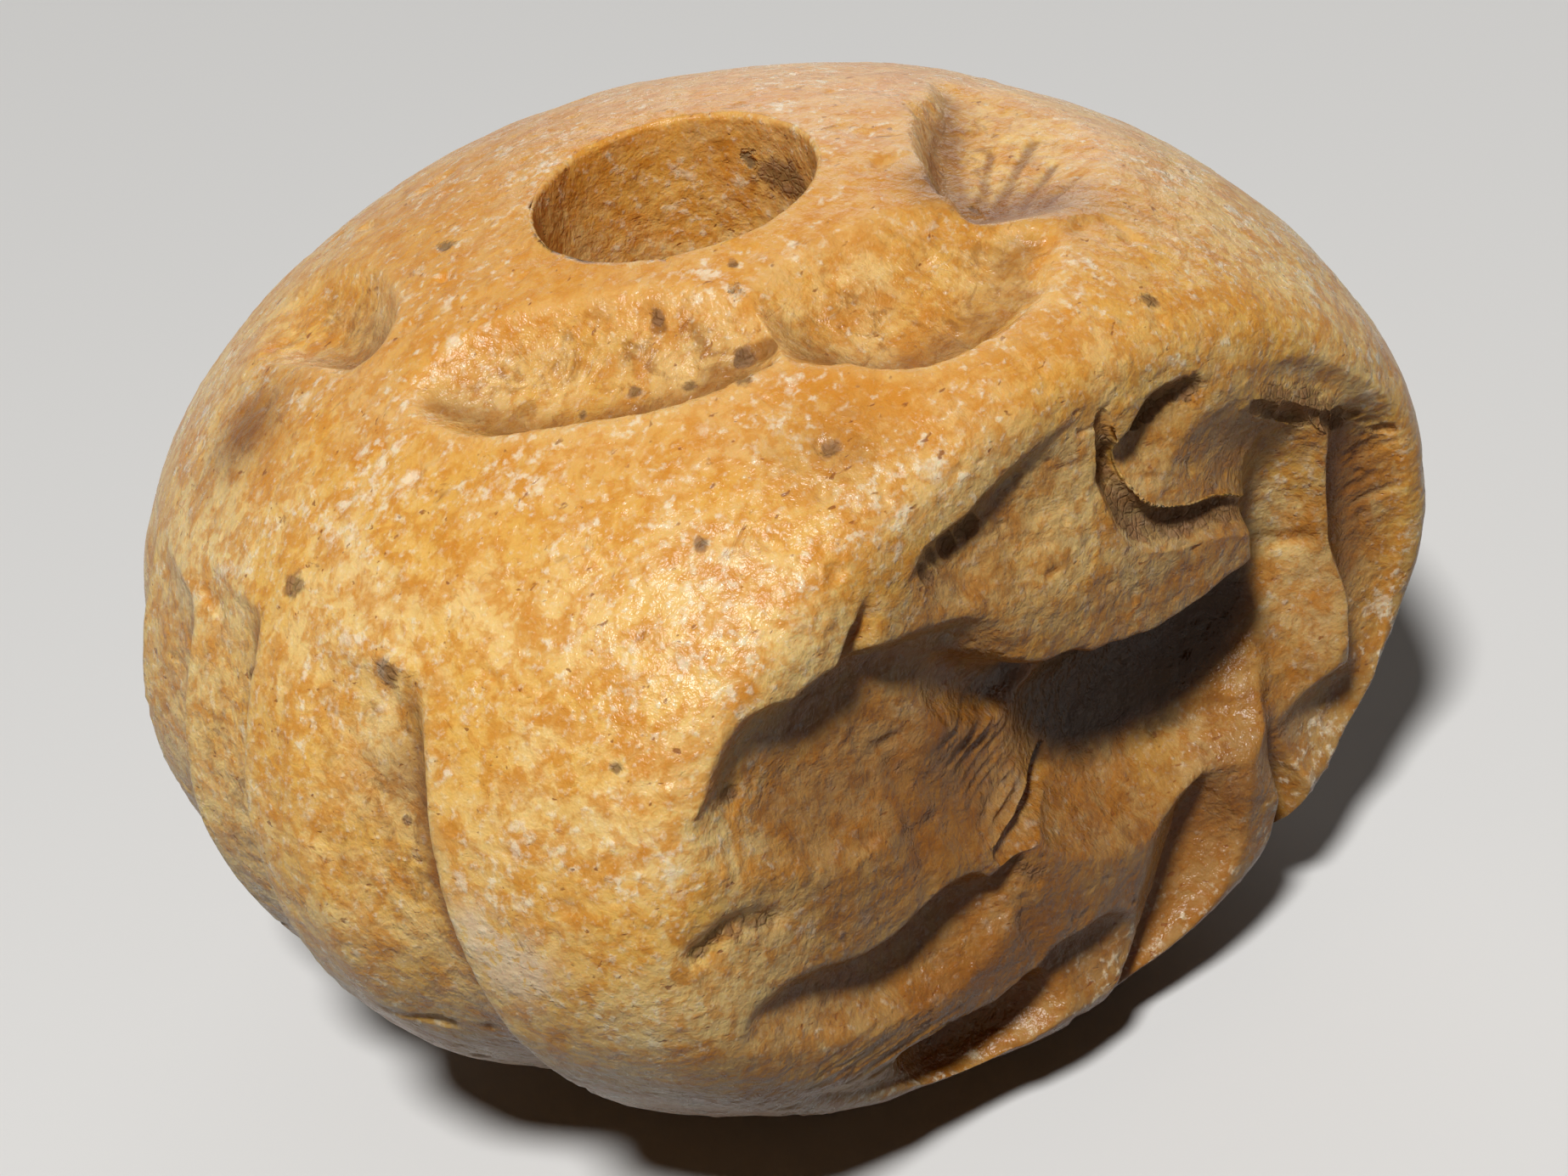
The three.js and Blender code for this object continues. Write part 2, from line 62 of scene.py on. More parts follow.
# Wheel cuts that make the animal. Each has the lean of its left and right wall (0.5 upright
# and round, 1 dished, above that fading out) and its stations: across and up the face,
# reach to the left and right of the travel, depth.
cuts = {
    "foreleg": (0.45, 0.6, [
        (-7.1, 2.6, 0.15, 0.7, 0.2), (-6.4, 2.75, 0.3, 1.5, 0.55), (-5.6, 2.85, 0.5, 2, 0.75),
        (-4.8, 3, 0.6, 2.5, 0.9), (-4.1, 3, 0.65, 2.8, 0.9), (-3.4, 2.8, 0.65, 2.6, 0.75)]),
    "tine": (0.6, 1.4, [
        (-4.35, 3.2, 0.25, 0.5, 0.85), (-4.1, 3.7, 0.2, 0.42, 0.7), (-3.8, 4.15, 0.16, 0.34, 0.5),
        (-3.5, 4.6, 0.1, 0.2, 0.2)]),
    "withers": (0.4, 1.1, [
        (-3.9, 3.1, 0.5, 0.7, 0.85), (-3.2, 2.8, 0.5, 0.9, 0.85), (-2.6, 2.3, 0.5, 1, 0.9),
        (-1.9, 1.65, 0.5, 1, 1.1), (-1.2, 1.05, 0.6, 1, 1.35), (-0.5, 0.7, 0.7, 1, 1.5)]),
    "haunch": (1, 0.9, [
        (-3.9, 1.4, 1.4, 1.5, 0.2), (-3.2, 1.2, 1.5, 1.7, 0.38), (-2.4, 0.8, 1.5, 1.8, 0.6),
        (-1.6, 0.4, 1.5, 1.7, 0.85), (-0.8, 0.1, 1.4, 1.6, 1.1)]),
    "body": (0.5, 0.9, [
        (-0.35, 0.3, 0.8, 1.4, 1.2), (0.3, 0.1, 1, 2.2, 1.5), (1.1, -0.2, 1.05, 2.7, 1.75),
        (2.2, -0.4, 1.1, 2.6, 1.95), (3.3, -0.45, 1.15, 2.2, 2), (4, -0.4, 1.15, 1.5, 1.9),
        (4.3, -0.3, 1, 1.1, 1.7)]),
    "head": (1.2, 1, [
        (2.1, 3.6, 0.9, 0.8, 0.3), (3, 3.4, 1.1, 1, 0.42), (3.9, 2.95, 1.2, 1.2, 0.55),
        (4.6, 2.3, 1.1, 1.1, 0.75), (4.95, 1.6, 0.95, 1, 0.9)]),
    "neck": (1.8, 1.1, [
        (4.4, -3, 0.8, 0.8, 0.4), (4.55, -1.8, 1, 1.2, 0.9), (4.7, -0.5, 1, 1.45, 1.25),
        (4.75, 0.6, 1, 1.4, 1.35), (4.85, 1.6, 1.1, 1.3, 1.1), (4.8, 2.5, 0.9, 1.1, 0.55)]),
    "breast": (0.5, 1.4, [
        (-2.5, 4.3, 0.3, 0.8, 0.45), (-1.7, 4.25, 0.42, 1.4, 0.7), (-0.9, 4.45, 0.45, 1.9, 0.65),
        (0, 4.8, 0.36, 2, 0.5), (0.6, 4.85, 0.34, 1.8, 0.4), (1.1, 4.5, 0.3, 1.1, 0.3)]),
    "brow": (0.4, 1.3, [
        (1.35, 4, 0.3, 0.8, 0.5), (1.85, 4, 0.4, 1, 0.65), (2.35, 4.3, 0.4, 1.2, 0.7),
        (2.95, 4.4, 0.4, 1, 0.5)]),
    "hindleg": (0.45, 0.7, [
        (-7.3, -1.3, 0.12, 0.4, 0.25), (-6.7, -1.15, 0.22, 0.8, 0.38), (-5.9, -1.4, 0.3, 1, 0.5),
        (-5, -1.85, 0.45, 0.95, 0.62), (-4.2, -1.9, 0.55, 1.1, 0.72), (-3.5, -1.8, 0.5, 1.3, 0.72),
        (-2.95, -1.7, 0.35, 1.2, 0.5)]),
    "belly": (0.5, 0.9, [
        (-4.6, -4.2, 0.3, 0.5, 0.3), (-4, -4.45, 0.45, 0.6, 0.7), (-3.4, -4.7, 0.55, 0.65, 0.95),
        (-2.7, -4.85, 0.65, 0.6, 1), (-2, -4.8, 0.7, 0.55, 0.9), (-1.5, -4.6, 0.5, 0.5, 0.5)]),
    "lobe": (0.7, 0.8, [
        (-1.4, -4.1, 0.35, 0.9, 0.5), (-0.7, -4.2, 0.4, 1.1, 0.5), (0, -4.5, 0.4, 1, 0.4),
        (0.6, -5, 0.3, 0.7, 0.25)]),
    "thigh": (2, 1, [
        (0.7, -5.3, 1.2, 0.4, 0.35), (1.6, -4.5, 1.6, 0.6, 0.6), (2.2, -3.7, 1.7, 0.8, 0.65),
        (2.7, -3, 1, 0.6, 0.45)]),
    "shin": (0.4, 1, [
        (-0.2, -5.75, 0.2, 0.4, 0.6), (0.8, -5.2, 0.3, 0.8, 0.85), (1.6, -4.5, 0.35, 0.95, 0.95),
        (2.1, -3.8, 0.35, 0.95, 0.95), (2.3, -3.3, 0.32, 0.7, 0.8), (2.55, -3, 0.22, 0.4, 0.5)]),
    "hip": (0.5, 0.6, [
        (3.5, -6.2, 0.6, 0.7, 2), (3.9, -5.4, 0.5, 0.5, 1.5), (4.15, -4.5, 0.35, 0.32, 1.05),
        (4.3, -3.6, 0.28, 0.26, 0.85), (4.35, -2.9, 0.2, 0.2, 0.6)]),
    "rump": (1.5, 0.9, [
        (4.4, -2.9, 0.7, 0.9, 0.35), (4.9, -3.1, 0.9, 1.3, 0.6), (5.5, -3.2, 1, 1.4, 0.75),
        (6.1, -3.1, 0.85, 1.2, 0.65), (6.6, -2.9, 0.5, 0.8, 0.3)]),
    "mane": (0.9, 1.3, [
        (4.2, 4.1, 0.3, 0.5, 0.2), (5.1, 3.55, 0.5, 0.7, 0.4), (5.9, 3, 0.5, 0.8, 0.5),
        (6.6, 2.3, 0.5, 0.8, 0.45), (7.1, 1.6, 0.35, 0.6, 0.25)]),
    "nape": (0.5, 1.2, [
        (6.8, -3.2, 0.6, 0.9, 0.4), (6.8, -2.3, 0.8, 1.2, 0.85), (6.8, -1, 0.85, 1.4, 1.05),
        (6.75, 0.2, 0.85, 1.4, 1.1), (6.65, 1.2, 0.75, 1.3, 0.95), (6.3, 2.1, 0.5, 1, 0.5)]),
}
# narrow cuts made after the others, so they go down from wherever those ended
lateCuts = {
    "jaw": (0.75, 1.4, [
        (1.25, 4.9, 0.08, 0.12, 0.08), (1.3, 4.2, 0.12, 0.3, 0.23), (1.4, 3.5, 0.14, 0.4, 0.28),
        (1.75, 2.85, 0.14, 0.5, 0.28), (2.5, 2.45, 0.14, 0.5, 0.26), (3.3, 2.15, 0.14, 0.45, 0.23),
        (4.1, 1.65, 0.13, 0.35, 0.16), (4.6, 1.2, 0.1, 0.2, 0.08)]),
    "slot": (0.8, 1.1, [
        (-2.2, -1.2, 0.14, 0.2, 0.15), (-1.6, -1.2, 0.18, 0.24, 0.28), (-0.9, -1.15, 0.18, 0.24, 0.3),
        (-0.1, -1.1, 0.14, 0.2, 0.12)]),
}
lateDirt = {"jaw": 0.8, "slot": 0.3, "deep": 0.2}  # how dirty they are where they are this deep
# combed marks: first line's two ends, last line's two ends, how many, width, depth, dirt in them
combs = {
    "ribs": ((-0.9, 1.0), (-3.0, 0.9), (-0.4, -0.8), (-2.6, -0.9), 12, 0.1, 0.07, 0.15),
    "flank": ((-7.0, -2.7), (-4.0, -2.9), (-5.4, -4.4), (-2.6, -4.2), 18, 0.09, 0.03, 0.25),
    "mane": ((4.3, 3.6), (5.0, 2.7), (6.3, 2.4), (6.9, 1.4), 12, 0.13, 0.08, 0.85),
    "maneEnd": ((6.2, 2.3), (6.9, 1.9), (7.2, 1.4), (7.7, 1.2), 4, 0.13, 0.08, 0.6),
    "nape": ((6.6, 0.8), (8.0, 1.4), (6.7, -0.3), (7.9, 0.3), 4, 0.11, 0.05, 0.3),
    "body": ((0.4, -1.6), (4.0, -2.2), (0.6, -3.0), (2.6, -3.2), 6, 0.22, 0.02, 0),
    "breast": ((-0.9, 4.2), (-0.7, 2.6), (0.9, 4.2), (0.8, 2.6), 6, 0.2, 0.015, 0),
    "brow": ((1.7, 4.5), (2.1, 4.0), (3.2, 4.8), (3.3, 4.1), 9, 0.16, 0.07, 0.8),
    "breastEnd": ((-2.7, 4.6), (-2.2, 3.8), (-1.3, 4.5), (-1.2, 4.0), 6, 0.15, 0.06, 0.8),
}
# broad and single marks: one end, other end, width, depth, dirt
marks = [
    (-7.0, -4.6, -3.6, -5.3, 1.7, 0.5, 0), (2.3, -2.1, 3.6, -2.3, 0.2, 0.12, 0.3),
    (-1.9, -1.6, -1.7, -2.0, 0.3, 0.06, 0.7), (-2.0, -2.4, -1.75, -3.7, 0.22, 0.1, 0.1),
    (-3.5, 1.4, -3.7, -0.9, 0.3, 0.07, 0), (-6.45, 2.4, -6.4, 2.4, 0.3, 0.1, 0.8),
    (-7.8, 0.5, -7.3, 0.65, 0.32, 0.14, 0.8), (-7.0, 0.6, -6.5, 0.3, 0.28, 0.12, 0.7),
    (-0.9, -3.5, -0.8, -3.5, 0.2, 0.04, 0.5), (-3.4, 1.0, -3.0, 0.4, 0.25, 0.05, 0.5),
]
# painted light and shade on the ground of the face: place, reach across and up, lighter (above 0) or darker
lightAndShadePatches = [
    (-4.6, -3.5, 2.4, 1.0, -1.3), (2.3, -2.0, 1.3, 1.1, 0.9), (0.6, 3.2, 1.3, 1.2, 1),
    (5.3, 0.2, 0.8, 2.0, 1.1), (7.0, 0.4, 0.8, 2.4, -1.6), (-5.0, 1.4, 2.0, 0.8, -0.4),
    (-4.6, -2.6, 1.6, 0.6, 0.9), (5.4, -3.6, 0.9, 0.8, 0.8), (3.2, -4.2, 0.7, 1.6, -0.8),
    (-2.6, 0.2, 1.4, 1.2, -1),
]
# dark stains on the face: place, reach across and up, strength
grime = [
    (4.7, 3.4, 0.5, 0.35, 0.75), (5.4, 2.9, 0.6, 0.45, 0.85), (6.1, 2.3, 0.5, 0.5, 0.7),
    (2.3, 4.3, 0.5, 0.3, 0.55), (-3.3, 0.7, 0.3, 0.25, 0.55), (-1.6, -2.0, 0.3, 0.25, 0.6),
    (-7.2, 0.5, 0.5, 0.3, 0.55), (3.0, -3.2, 0.5, 0.6, 0.4), (1.4, 2.6, 0.5, 0.3, 0.4),
    (-2.2, 4.2, 0.4, 0.25, 0.6),
]
# the cutting wheel: steps from one station to the next, the depth given to points that it doesn't
# come near, how the depth falls below zero right beside a cut, and the least reach and depth
wheel = {"steps": 10, "combSteps": 5, "outside": -1.0, "fall": 0.3, "fallTo": 3, "thinnest": 0.02}
# how the cutter's hand strays: size of the waves, how far they move a cut, their two seeds
strays = [(1.1, 0.09, 21, 23), (0.4, 0.035, 22, 24)]
# how combed lines differ: place, shares cut off at the two ends, bend in mm, times width and depth
combing = {"place": 0.3, "start": 0.25, "end": 0.3, "bend": 0.03, "width": (0.6, 1.2), "depth": (0.5, 1.3)}


def smoothMax(a, b, blend):
    # the larger of two heights, with the corner between them rounded
    near = np.clip(0.5 + (a - b) / (2 * blend), 0, 1)
    return b + (a - b) * near + blend * near * (1 - near)


def latticeNoise(points, size, seed):
    # soft lumps of about the given size, from -1 to 1
    place = points / size
    cell = np.floor(place).astype(np.int64)
    part = place - cell
    part = part * part * (3 - 2 * part)
    total = np.zeros(points.shape[:-1])
    for corner in np.ndindex(2, 2, 2):
        at = cell + np.array(corner)
        mixed = (at[..., 0] * 73856093) ^ (at[..., 1] * 19349663) ^ (at[..., 2] * 83492791) ^ (seed * 40503)
        mixed = (mixed ^ (mixed >> 13)) * 1274126177
        value = ((mixed ^ (mixed >> 16)) & 0xFFFF) / 0x7FFF - 1
        weight = np.prod(np.where(corner, part, 1 - part), axis=-1)
        total += value * weight
    return total


def smoothLine(stations, perSpan):
    # a smooth curve through the stations, all of their numbers together
    rows = np.array(stations, float)
    rows = np.vstack([2 * rows[0] - rows[1], rows, 2 * rows[-1] - rows[-2]])
    t = np.linspace(0, 1, perSpan, endpoint=False)[:, None]
    line = []
    for a, b, c, d in zip(rows, rows[1:], rows[2:], rows[3:]):
        line.append(0.5 * (2 * b + (c - a) * t + (2 * a - 5 * b + 4 * c - d) * t ** 2
                           + (3 * b - a - 3 * c + d) * t ** 3))
    line.append(rows[-2:-1])
    line = np.vstack(line)
    line[:, 2:] = np.clip(line[:, 2:], wheel["thinnest"], None)
    return line


def cutDepth(x, z, leanLeft, leanRight, stations, perSpan=wheel["steps"]):
    # depth of one wheel cut under each point, falling below zero outside it
    line = smoothLine(stations, perSpan)
    reach = line[:, 2:4].max()
    near = ((x > line[:, 0].min() - reach) & (x < line[:, 0].max() + reach)
            & (z > line[:, 1].min() - reach) & (z < line[:, 1].max() + reach))
    px, pz = x[near], z[near]
    best = np.full(px.shape, wheel["outside"])
    for number, (a, b) in enumerate(zip(line, line[1:])):
        step = b[:2] - a[:2]
        length = math.hypot(*step)
        dx, dz = px - a[0], pz - a[1]
        along = (dx * step[0] + dz * step[1]) / length ** 2
        t = np.clip(along, 0, 1)
        side = (step[0] * dz - step[1] * dx) / length  # positive on the left
        past = np.abs(along - t) * length
        left, right, deep = (a[k] * (1 - t) + b[k] * t for k in (2, 3, 4))
        width = np.where(side > 0, left, right)
        atEnd = ((number == 0) & (along < 0)) | ((number == len(line) - 2) & (along > 1))
        end = np.where(atEnd, np.minimum(left, right), width)
        out = (side / width) ** 2 + (past / end) ** 2
        lean = np.where(side > 0, leanLeft, leanRight)
        inside = deep * np.clip(1 - out, 0, None) ** lean
        beside = -wheel["fall"] * np.clip(out - 1, 0, wheel["fallTo"])
        best = np.maximum(best, np.where(out < 1, inside, beside))
    depth = np.full(x.shape, wheel["outside"])
    depth[near] = best
    return depth


def markDepth(x, z, x0, z0, x1, z1, wide, deep):
    # depth of one straight rounded groove
    dx, dz = x1 - x0, z1 - z0
    t = np.clip(((x - x0) * dx + (z - z0) * dz) / (dx * dx + dz * dz), 0, 1)
    gap = np.hypot(x - x0 - t * dx, z - z0 - t * dz) / wide
    return deep * np.exp(-2 * gap ** 2)


def combDepth(x, z, firstStart, firstEnd, lastStart, lastEnd, count, wide, deep, seed):
    # depth of a row of fine grooves, each a little off in place, length, bend, width and depth
    random = np.random.default_rng(seed)
    depth = np.zeros(x.shape)
    for share in np.linspace(0, 1, count):
        share += random.uniform(-combing["place"], combing["place"]) / count
        start = np.array(firstStart) * (1 - share) + np.array(lastStart) * share
        end = np.array(firstEnd) * (1 - share) + np.array(lastEnd) * share
        start = start + (end - start) * random.uniform(0, combing["start"])
        end = end - (end - start) * random.uniform(0, combing["end"])
        bend = (start + end) / 2 + random.normal(0, combing["bend"], 2)
        width = wide * random.uniform(*combing["width"])
        stations = [(*start, width / 3, width / 3, deep / 4),
                    (*bend, width, width, deep * random.uniform(*combing["depth"])),
                    (*end, width / 3, width / 3, deep / 5)]
        depth += np.clip(cutDepth(x, z, 1, 1, stations, wheel["combSteps"]), 0, None)
    return depth


def faceRelief(x, z):
    # depth of the engraving, of its later and finer marks, and the dirt those hold
    relief = np.full(x.shape, wheel["outside"])
    place = np.stack([x, z, np.zeros(x.shape)], -1)
    unsteadyX, unsteadyZ = x, z
    for size, shift, seedX, seedZ in strays:
        unsteadyX = unsteadyX + shift * latticeNoise(place, size, seedX)
        unsteadyZ = unsteadyZ + shift * latticeNoise(place, size, seedZ)
    for leanLeft, leanRight, stations in cuts.values():
        depth = cutDepth(unsteadyX, unsteadyZ, leanLeft, leanRight, stations)
        relief = smoothMax(relief, depth, stone["cutBlend"])
    late, dirt = np.zeros(x.shape), np.zeros(x.shape)
    for name, (leanLeft, leanRight, stations) in lateCuts.items():
        depth = np.clip(cutDepth(x, z, leanLeft, leanRight, stations), 0, None)
        late += depth
        dirt = np.maximum(dirt, lateDirt[name] * np.clip(depth / lateDirt["deep"], 0, 1))
    for seed, (*comb, held) in enumerate(combs.values()):
        depth = combDepth(x, z, *comb, seed)
        late += depth
        dirt = np.maximum(dirt, held * np.clip(2 * depth / comb[-1], 0, 1))
    for *mark, held in marks:
        depth = markDepth(x, z, *mark)
        late += depth
        dirt = np.maximum(dirt, held * depth / mark[-1])
    return relief, late, dirt


def patches(x, z, places):
    # soft spots on the face, added up
    total = np.zeros(x.shape)
    for patchX, patchZ, across, up, amount in places:
        total += amount * np.exp(-((x - patchX) / across) ** 2 - ((z - patchZ) / up) ** 2)
    return total


# Thumb-shaped petals round each mouth, cut like the animal but laid out looking down the bore
petals = {
    "front": (0.45, 0.9, [
        (2.3, -4.9, 0.5, 1, 0.2), (1.4, -5.15, 0.8, 1.7, 0.6), (0.3, -5.25, 0.85, 2, 0.85),
        (-0.6, -5.05, 0.85, 1.9, 0.9), (-1.15, -4.5, 0.65, 1.4, 0.7), (-1.3, -3.9, 0.4, 0.8, 0.3)]),
    "left": (0.45, 0.8, [
        (-2.6, -3.9, 0.35, 0.8, 0.3), (-3.4, -3.5, 0.5, 1.5, 0.7), (-4.4, -2.5, 0.6, 1.7, 0.85),
        (-5.3, -1.3, 0.6, 1.6, 0.75), (-5.7, -0.4, 0.45, 1, 0.3)]),
    "right": (0.6, 1.2, [
        (2.5, -3.4, 0.3, 0.6, 0.5), (3, -2.9, 0.45, 1.7, 0.85), (3.6, -2, 0.5, 2.5, 0.8),
        (4.3, -1.1, 0.45, 2.3, 0.55), (4.8, -0.4, 0.3, 1.2, 0.2)]),
    "leftBack": (0.7, 0.9, [
        (-5.6, 2.3, 0.4, 0.5, 0.4), (-5.45, 3, 0.6, 0.9, 0.7), (-5.3, 3.9, 0.8, 1.1, 0.65),
        (-5.1, 4.8, 0.9, 1, 0.35), (-4.9, 5.6, 0.7, 0.8, 0.1)]),
}
petalFit = {"from": 2, "blend": 0.12, "wear": 0.1}  # height they start at, blending, rounded rim
# scratches in the upper petals: one end, other end, width, depth
petalScratches = [
    (3.5, -3.2, 5.5, -1.9, 0.12, 0.07), (3.8, -3.5, 5.1, -2.8, 0.1, 0.07),
    (3.8, -3.85, 5.0, -3.45, 0.1, 0.06), (3.5, -2.9, 4.8, -1.7, 0.11, 0.05),
    (-2.5, -3.7, -2.2, -4.0, 0.14, 0.1), (-2.9, -4.2, -2.5, -4.3, 0.1, 0.12),
    (-3.6, -3.45, -3.5, -3.55, 0.12, 0.1), (-4.2, -2.85, -4.1, -2.95, 0.12, 0.1),
    (-4.95, -2.3, -4.9, -2.32, 0.1, 0.1), (-2.95, -2.2, -2.9, -2.25, 0.13, 0.07),
]

# Flutes of each short side: a long slope from the back that ends in a step towards the face
flutes = {
    # degrees from the side's middle towards the face, depth, top in degrees
    "places": [(16.5, 0.55, 33), (-5, 0.62, 32), (-17, 0.58, 27), (-31, 0.5, 24)],
    "slope": 2.6, "step": 0.3, "slopePower": 1.5, "stepPower": 0.6,  # widths, and how they sink
    "foot": -50, "drift": 9, "driftOver": 60,  # lower end, and degrees of slant over degrees of height
    "ending": 4, "endPower": 0.6, "wear": 0.06, "lift": 0.02,  # how blunt the ends and edges are
    "crease": 0.05, "creaseReach": 0.2,  # where the painted shade line in the step lies, and its width
}


def cutPetals(points):
    # depth of the petals at both ends
    cut = np.full(points.shape[:-1], wheel["outside"])
    x, y, z = points[..., 0], points[..., 1], points[..., 2]
    for end in (z > petalFit["from"], z < -petalFit["from"]):
        for leanLeft, leanRight, stations in petals.values():
            depth = cutDepth(x[end], y[end], leanLeft, leanRight, stations)
            cut[end] = smoothMax(cut[end], depth, petalFit["blend"])
    return smoothMax(cut, np.zeros_like(cut), petalFit["wear"])


def cutFlutes(points, azimuth):
    # depth of the flutes, and the painted shade along the crease at the foot of each one's step
    cut, crease = np.zeros(points.shape[:-1]), np.zeros(points.shape[:-1])
    latitude = np.degrees(np.arcsin(np.clip(points[..., 2] / halfAxes[2], -1, 1)))
    for side in (-1, 1):
        for place, depth, top in flutes["places"]:
            slant = flutes["drift"] * (top - latitude) / flutes["driftOver"]
            line = math.pi * (side < 0) - side * np.radians(place + slant)
            away = (azimuth[None, :] - line + math.pi) % (2 * math.pi) - math.pi
            across = away * halfAxes[0] * np.cos(np.radians(latitude)) * side
            along = np.where(latitude > 0, latitude / top, latitude / flutes["foot"])
            swell = np.clip(1 - along ** flutes["ending"], 0, 1) ** flutes["endPower"]
            width = np.where(across > 0, flutes["slope"], flutes["step"])
            power = np.where(across > 0, flutes["slopePower"], flutes["stepPower"])
            shape = np.clip(1 - (across / width) ** 2, 0, 1) ** power
            cut = smoothMax(cut, depth * swell * shape - flutes["lift"], flutes["wear"])
            inStep = (across + flutes["crease"]) / flutes["creaseReach"]
            crease = np.maximum(crease, swell * np.exp(-inStep ** 2))
    return cut, crease


def columnsRound():
    # azimuths of the columns: fine over the face, wider on the seen side, widest behind
    columns = []
    for low, high, name in [(-135, -45, "fineStep"), (-45, 135, "backStep"), (135, 225, "sideStep")]:
        columns.append(np.linspace(low, high, round((high - low) / stone[name]), endpoint=False))
    return np.radians(np.concatenate(columns))


def rowsDown(top):
    # latitudes of the rows from one mouth to the other
    band = stone["faceBand"]
    ends = np.linspace(top, band, round((top - band) / stone["endRow"]), endpoint=False)
    face = np.linspace(band, -band, round(2 * band / stone["faceRow"]))
    return np.radians(np.concatenate([ends, face, -ends[::-1]]))


def stoneSkin():
    # the uncut round stone as rows of points from mouth to mouth, with its normals
    edge = (stone["boreRadius"] + stone["mouthEase"]) / halfAxes[0]
    azimuth = columnsRound()[None, :]
    latitude = rowsDown(math.degrees(math.acos(edge)))[:, None]
    level = (stone["mouthFrom"] - np.cos(latitude)) / (stone["mouthFrom"] - edge)
    towardsMouth = np.clip(level, 0, 1) ** stone["mouthPower"]
    squeeze = 1 + (halfAxes[0] / halfAxes[1] - 1) * towardsMouth
    shiftX, shiftY = stone["boreShift"] / halfAxes[:2]
    ux = np.cos(latitude) * np.cos(azimuth) + shiftX * towardsMouth
    uy = np.cos(latitude) * np.sin(azimuth) * squeeze + shiftY * towardsMouth
    uz = np.sqrt(np.clip(1 - ux ** 2 - uy ** 2, 0, None)) * np.sign(latitude)
    unit = np.stack([ux, uy, uz], -1)
    normals = unit / halfAxes
    normals /= np.linalg.norm(normals, axis=-1, keepdims=True)
    return unit * halfAxes, normals, azimuth[0]


def boreWall(azimuth, high, low):
    # the rounded lower lip, the wall going up, then the rounded upper lip
    bore, ease = stone["boreRadius"], stone["mouthEase"]
    turns = np.radians(stone["lipTurns"])
    lip = [(ease * (1 - math.sin(turn)), ease * (1 - math.cos(turn))) for turn in turns]
    rows = [(bore + out, low + up) for out, up in lip]
    for share in np.linspace(0, 1, stone["boreRows"]):
        rows.append((bore, (low + ease) * (1 - share) + (high - ease) * share))
    rows += [(bore + out, high - down) for out, down in reversed(lip)]
    shiftX, shiftY = stone["boreShift"]
    across, along = np.cos(azimuth), np.sin(azimuth)
    return np.array([np.stack([shiftX + radius * across, shiftY + radius * along, level], -1)
                     for radius, level in rows])


def averaged(values, rounds):
    # each point of the grid averaged with its neighbours, round after round
    for _ in range(rounds):
        values = (values + np.roll(values, 1, 1) + np.roll(values, -1, 1)) / 3
        values[1:-1] = (values[1:-1] + values[:-2] + values[2:]) / 3
    return values


# What wear, dirt and painted shade do: depths in mm at which they begin and over which they grow
patina = {
    "cleanRim": 0.8, "cleanOver": 1.6,  # the face's rim is kept clear of dirt and painted shade
    "deepShadowFrom": 1.0, "deepShadowOver": 0.7,  # painted shadow fills the deepest cuts
    "tooledAndShadedAt": 0.55, "boreTooledAndShaded": 0.4,  # floors of petals and flutes, and the bore's wall: a duller finish with painted shade
    "groundWear": 0.08, "groundSoftening": 2,  # where petals meet flutes, and rounds of averaging
    "lightAndShadeAmount": 0.7, "scratchShade": 2, "creaseShade": 0.9,  # how much each of these counts
}

print("shaping the stone")
skin, normals, azimuth = stoneSkin()
fluted, crease = cutFlutes(skin, azimuth)
ground = averaged(smoothMax(cutPetals(skin), fluted, patina["groundWear"]), patina["groundSoftening"])
scratched = np.zeros(ground.shape)
for scratch in petalScratches:
    scratched = np.maximum(scratched, markDepth(skin[..., 0], skin[..., 1], *scratch))
scratched[skin[..., 2] < petalFit["from"]] = 0
skin = skin - normals * (ground + scratched)[..., None]

# the face: a slightly domed flat, the engraving, and wear where they meet the round stone
x, y, z = skin[..., 0], skin[..., 1], skin[..., 2]
front = y < 0
dome = x * x / stone["dome"][0] + (z - stone["domeLow"]) ** 2 / stone["dome"][1]
flat = smoothMax(y, dome - stone["faceDistance"], stone["rimWear"])
relief = np.full(x.shape, wheel["outside"])
late, dirt = np.zeros(x.shape), np.zeros(x.shape)
relief[front], late[front], dirt[front] = faceRelief(x[front], z[front])
carved = smoothMax(flat, relief - stone["faceDistance"], stone["cutWear"])
carved = averaged(carved, stone["softening"])
onFace = np.clip((carved - y) / stone["faceEdge"], 0, 1)
awayFromRim = np.clip((carved - y - patina["cleanRim"]) / patina["cleanOver"], 0, 1)
carved += late * onFace
skin[..., 1] = np.where(front, carved, y)
# dirt and painted shade over the cut face, made lighter or darker by the painted light and shade patches
engraved = np.where(front, onFace * awayFromRim * (1 - patina["lightAndShadeAmount"] * patches(x, z, lightAndShadePatches)), 0)
# painted shadow in the deepest cuts
sunk = (carved + stone["faceDistance"] - patina["deepShadowFrom"]) / patina["deepShadowOver"]
deepShadow = np.where(front, onFace * np.clip(sunk, 0, 1), 0)
# duller ground finish and painted shade, growing with the depth of petals and flutes
tooledAndShaded = np.clip(ground / patina["tooledAndShadedAt"], 0, 1)
# scratches count twice here, so the painted corner shade is darker in them
depth = ground + patina["scratchShade"] * scratched + np.where(front, carved - y, 0)
hollow = depth - averaged(depth, stone["surround"])  # above 0 in corners, below on crests; used to paint shade into the corners

print("bore and wear")
wall = boreWall(azimuth, skin[0, :, 2], skin[-1, :, 2])
grid = np.concatenate([skin, wall])


